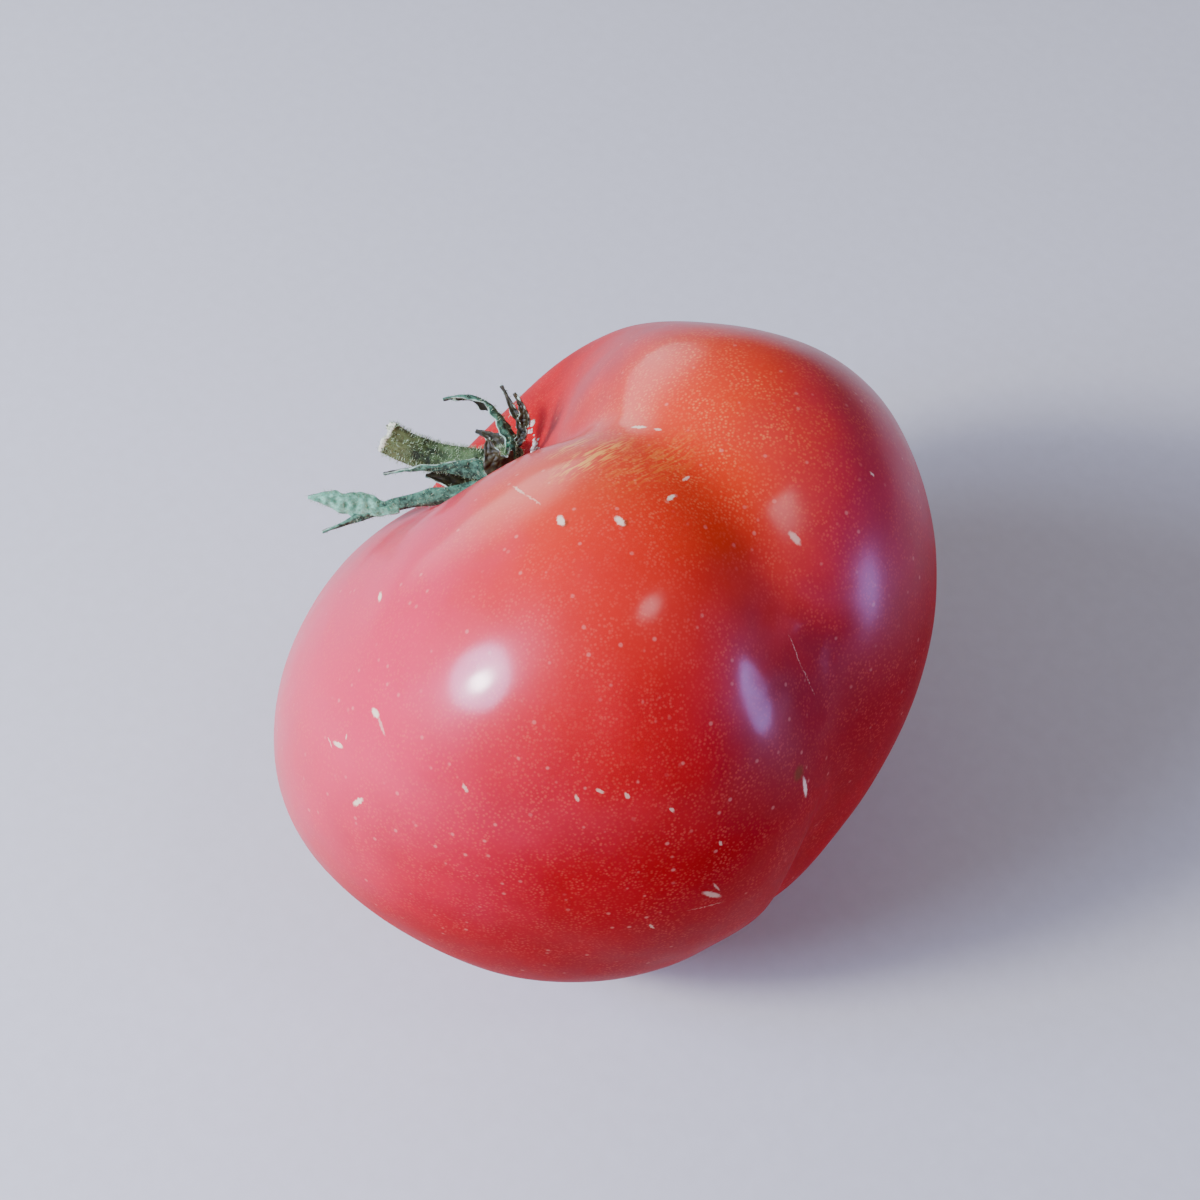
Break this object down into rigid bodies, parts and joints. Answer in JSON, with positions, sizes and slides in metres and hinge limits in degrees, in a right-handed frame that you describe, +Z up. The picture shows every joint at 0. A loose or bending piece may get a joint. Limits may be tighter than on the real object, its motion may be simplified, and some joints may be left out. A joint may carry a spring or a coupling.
{
  "type": "tomato",
  "caption": "Ripe ribbed tomato lying on its side, with a dried forked calyx and a short bent stub of stem.",
  "frame": {"origin": "centre of the flat spot that the fruit rests on", "axes": "+Z up, the stem end towards -X and a little up, the two big lobes along Y"},
  "size_m": [0.0799, 0.0929, 0.0828],
  "materials": {
    "tomato_skin": "ripe waxy tomato skin, pinkish red with an orange flush at the shoulders, fine pale speckles, satin gloss",
    "dried_sepal": "dried hairy sepals, grey-green outside and dark brown inside, matt",
    "green_stem": "olive green stalk with short pale hairs, matt, torn pale rim"
  },
  "bodies": {
    "root": {"fruit": "tomato_skin", "calyx": "dried_sepal", "stem": "green_stem"}
  },
  "joints": []
}
